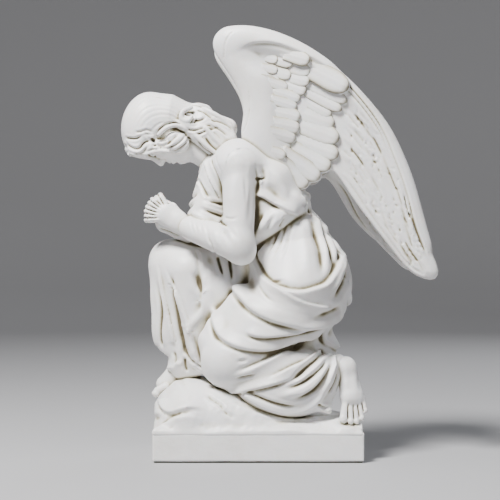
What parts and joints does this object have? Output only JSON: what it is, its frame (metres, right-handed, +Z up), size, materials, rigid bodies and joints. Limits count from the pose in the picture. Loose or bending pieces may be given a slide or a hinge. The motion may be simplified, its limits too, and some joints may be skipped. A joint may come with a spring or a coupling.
{
  "type": "angel figurine",
  "caption": "Cast-resin statuette of a winged angel kneeling in prayer on a rocky mound over a rectangular plinth, with pegged wings and a felt underlay.",
  "frame": {"origin": "centre of the felt underlay's resting face, under the middle of the plinth", "axes": "+Z up; the angel faces -X and its left side is -Y; the plinth's long side runs along X"},
  "size_m": [0.3141, 0.1336, 0.423],
  "materials": {
    "resin": "satin cream-white cast resin with an olive-brown antique wash in the hollows",
    "felt": "short-napped green felt",
    "peg_steel": "plain drawn pin"
  },
  "bodies": {
    "root": {"felt_underlay": "felt", "plinth": "resin", "rock_mound": "resin", "left_foot": "resin", "right_foot": "resin", "left_leg_drapery": "resin", "right_leg_drapery": "resin", "hip_mantle": "resin", "overfold": "resin", "torso": "resin", "left_sleeve": "resin", "right_sleeve": "resin", "left_hand": "resin", "right_hand": "resin", "head": "resin", "hair": "resin", "left_wing": "resin", "left_wing_lower_peg": "peg_steel", "left_wing_upper_peg": "peg_steel", "right_wing": "resin", "right_wing_lower_peg": "peg_steel", "right_wing_upper_peg": "peg_steel"}
  },
  "joints": []
}
